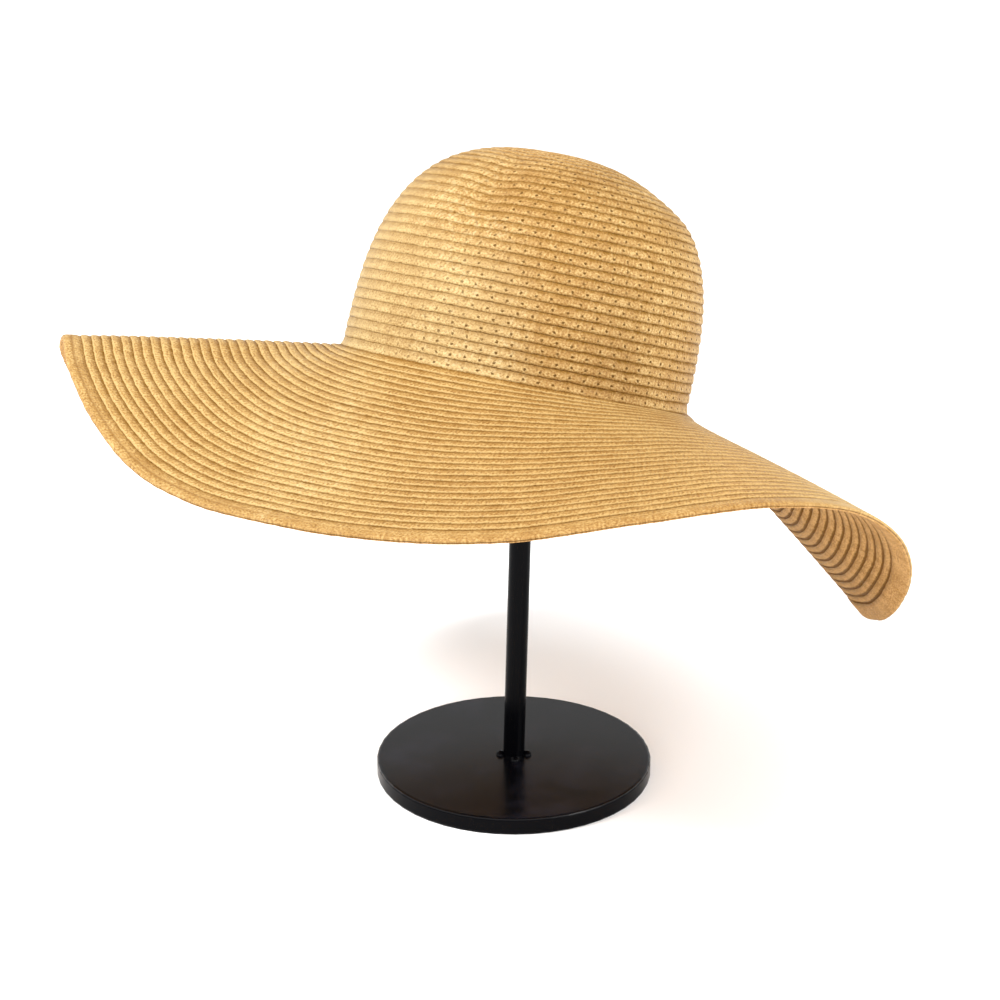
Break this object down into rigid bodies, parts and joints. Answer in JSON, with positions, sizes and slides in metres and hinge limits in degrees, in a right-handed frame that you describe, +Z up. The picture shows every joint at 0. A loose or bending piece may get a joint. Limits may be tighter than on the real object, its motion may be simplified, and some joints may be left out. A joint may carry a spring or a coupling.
{
  "type": "wide-brimmed straw hat on a plain metal display stand",
  "caption": "Wide-brimmed sewn straw sun hat with a domed crown and a waved, doubled-edge brim, resting tilted on a slim black metal stand with a round base.",
  "frame": {"origin": "centre of the underside of the stand's round base", "axes": "+Z up; +X to the right and -Y to the front, as the hat is seen from its front"},
  "size_m": [0.4679, 0.4503, 0.3791],
  "materials": {
    "crown_straw": "sewn plaited straw braid, pale gold, soft sheen",
    "brim_straw": "sewn plaited straw braid, golden tan, browner underneath",
    "edge_straw": "doubled round of plaited straw braid, golden tan",
    "black_metal": "smooth black paint, glossy"
  },
  "bodies": {
    "root": {"crown": "crown_straw", "brim": "brim_straw", "brim_edge": "edge_straw", "stand": "black_metal"}
  },
  "joints": []
}
